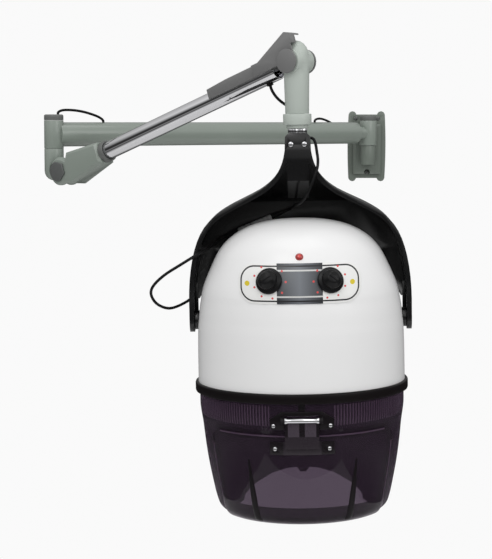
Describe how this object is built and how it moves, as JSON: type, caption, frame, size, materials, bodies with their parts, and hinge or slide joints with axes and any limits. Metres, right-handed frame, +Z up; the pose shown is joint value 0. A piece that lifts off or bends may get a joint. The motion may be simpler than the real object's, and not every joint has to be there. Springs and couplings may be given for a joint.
{
  "type": "wall-mounted salon hood dryer",
  "caption": "Salon hood dryer with a domed shell, smoked visor and lifting flap, hung from a yoke on a jointed, spring-balanced wall arm.",
  "frame": {"origin": "centre of the wall plate's back face", "axes": "+X to the right, +Y into the wall, +Z up; the hood is in front of the wall at negative Y"},
  "size_m": [0.6734, 1.0441, 0.7878],
  "materials": {
    "arm_paint": "gloss grey-green paint on castings",
    "tube_paint": "gloss grey-green paint on steel tube",
    "steel": "plated",
    "chrome": "polished",
    "grey_casting": "satin dark grey",
    "grey_plastic": "satin dark grey",
    "black_plastic": "semi-gloss black",
    "white_gloss": "gloss white",
    "smoked": "clear smoked",
    "bowl": "satin",
    "panel": "printed plaque",
    "red_lens": "clear red",
    "cord": "matt black"
  },
  "bodies": {
    "wall_bracket": {"wall_plate": "arm_paint", "hinge_pin": "steel", "wall_screw_left": "steel", "wall_screw_right": "steel", "wall_screw_low": "steel", "supply_gland": "black_plastic"},
    "primary_arm": {"primary_tube": "tube_paint", "wall_barrel": "arm_paint", "elbow_sleeve": "arm_paint", "elbow_cap": "grey_plastic", "wall_cap": "grey_plastic", "elbow_cord": "cord", "supply_cord": "cord"},
    "elbow": {"elbow_knuckle": "arm_paint", "elbow_shaft": "steel"},
    "spring_arm": {"arm_socket": "arm_paint", "elbow_pin": "steel", "elbow_pivot_cap": "grey_plastic", "socket_collar": "grey_plastic", "chrome_tube": "chrome", "balance_spring": "steel", "cord_grommet": "cord", "arm_fork": "grey_casting", "head_pin": "steel", "head_cap_front": "grey_plastic", "head_cap_rear": "grey_plastic", "head_cord": "cord"},
    "head": {"head_knuckle": "arm_paint", "knuckle_collar": "arm_paint"},
    "yoke_assembly": {"swivel_stub": "chrome", "yoke": "black_plastic", "yoke_screw_left": "steel", "yoke_screw_right": "steel", "yoke_cord": "cord", "connector_socket": "grey_plastic", "connector_plug": "grey_plastic", "hood_cord": "cord"},
    "hood": {"hood_shell": "white_gloss", "hood_band": "black_plastic", "inner_bowl": "bowl", "visor": "smoked", "tilt_hub_left": "black_plastic", "tilt_hub_right": "black_plastic", "hinge_plate": "black_plastic", "hinge_screw_left": "steel", "hinge_screw_right": "steel", "control_panel": "panel", "pilot_lens": "red_lens", "fan_motor": "steel", "heater_ring": "steel", "hood_gland": "black_plastic"},
    "timer": {"timer_knob": "black_plastic"},
    "heat": {"heat_knob": "black_plastic"},
    "fan": {"fan_impeller": "bowl"},
    "flap": {"visor_flap": "smoked", "flap_barrel": "chrome", "flap_leaf": "black_plastic", "flap_screw_left": "steel", "flap_screw_right": "steel"}
  },
  "joints": [
    {"name": "wall_hinge", "type": "hinge", "parent": "wall_bracket", "child": "primary_arm", "pos_m": [0, -0.048, 0.029], "axis": [0, 0, 1], "range_deg": [-30, 130], "deforming": ["supply_cord"]},
    {"name": "elbow_swivel", "type": "hinge", "parent": "primary_arm", "child": "elbow", "pos_m": [-0.61496, -0.50305, 0], "axis": [0, 0, 1], "range_deg": [-150, 35]},
    {"name": "arm_tilt", "type": "hinge", "parent": "elbow", "child": "spring_arm", "pos_m": [-0.59097, -0.52268, -0.038], "axis": [-0.6334, -0.7738, 0], "range_deg": [-40, 15]},
    {"name": "head_level", "type": "hinge", "parent": "spring_arm", "child": "head", "pos_m": [-0.17675, -0.86172, 0.1505], "axis": [-0.6334, -0.7738, 0], "range_deg": [-15, 40], "deforming": ["head_cord"]},
    {"name": "head_swivel", "type": "hinge", "parent": "head", "child": "yoke_assembly", "pos_m": [-0.17482, -0.86172, 0.05], "axis": [-0.0192, 0, 0.9998], "range_deg": [-160, 160]},
    {"name": "hood_tilt", "type": "hinge", "parent": "yoke_assembly", "child": "hood", "pos_m": [-0.16865, -0.86172, -0.27142], "axis": [-0.9993, 0.0332, -0.0192], "range_deg": [-10, 40], "deforming": ["hood_cord"]},
    {"name": "flap_lift", "type": "hinge", "parent": "hood", "child": "flap", "pos_m": [-0.17179, -1.038, -0.4125], "axis": [-0.9993, 0.0332, -0.0192], "range_deg": [0, 70]},
    {"name": "timer_turn", "type": "hinge", "parent": "hood", "child": "timer", "pos_m": [-0.22217, -1.00561, -0.19743], "axis": [-0.3261, -0.8828, 0.3381], "range_deg": [0, 300]},
    {"name": "heat_turn", "type": "hinge", "parent": "hood", "child": "heat", "pos_m": [-0.12766, -1.00875, -0.19562], "axis": [0.2537, -0.902, 0.3492], "range_deg": [0, 270]},
    {"name": "fan_spin", "type": "hinge", "parent": "hood", "child": "fan", "pos_m": [-0.17079, -0.86172, -0.15996], "axis": [-0.0192, 0, 0.9998], "continuous": true}
  ],
  "couplings": [
    {"joint": "head_level", "follows": "arm_tilt", "ratio": -1}
  ]
}
